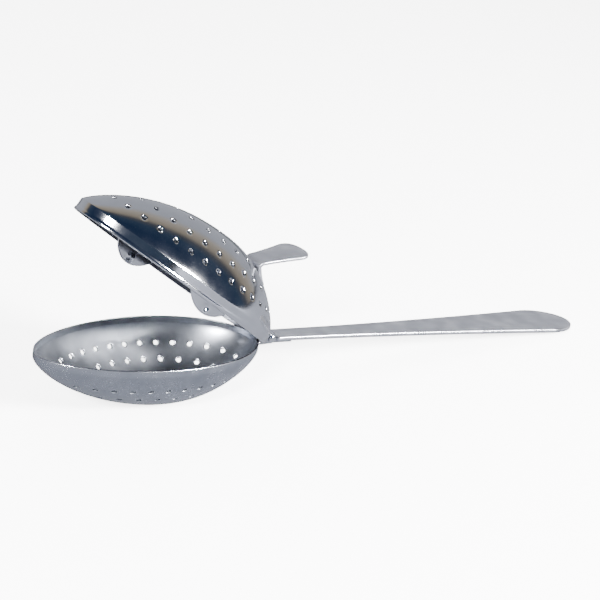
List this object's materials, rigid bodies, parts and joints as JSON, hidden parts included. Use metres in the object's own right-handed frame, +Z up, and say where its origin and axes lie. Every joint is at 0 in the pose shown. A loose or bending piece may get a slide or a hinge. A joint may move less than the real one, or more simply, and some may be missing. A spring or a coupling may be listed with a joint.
{
  "type": "tea infuser spoon",
  "caption": "Tea infuser spoon: perforated egg-shaped bowl on a flat handle, with a perforated domed lid hinged at the neck, a thumb tab and side clips.",
  "frame": {"origin": "middle of the object's box, on the table that the bowl and the handle's end rest on", "axes": "+X from the bowl towards the handle's end, +Y across the bowl, +Z up"},
  "size_m": [0.1564, 0.0318, 0.047],
  "materials": {
    "satin_steel": "satin tumbled stainless steel",
    "bright_steel": "polished stainless steel"
  },
  "bodies": {
    "spoon": {"bowl": "satin_steel", "hinge_bracket": "satin_steel", "handle": "satin_steel", "hinge_pin": "bright_steel"},
    "lid": {"lid": "bright_steel", "thumb_tab": "satin_steel", "clip_left": "bright_steel", "clip_right": "bright_steel"}
  },
  "joints": [
    {"name": "lid_hinge", "type": "hinge", "parent": "spoon", "child": "lid", "pos_m": [-0.02015, 0, 0.01059], "axis": [0, 1, 0], "range_deg": [-33, 72]}
  ]
}
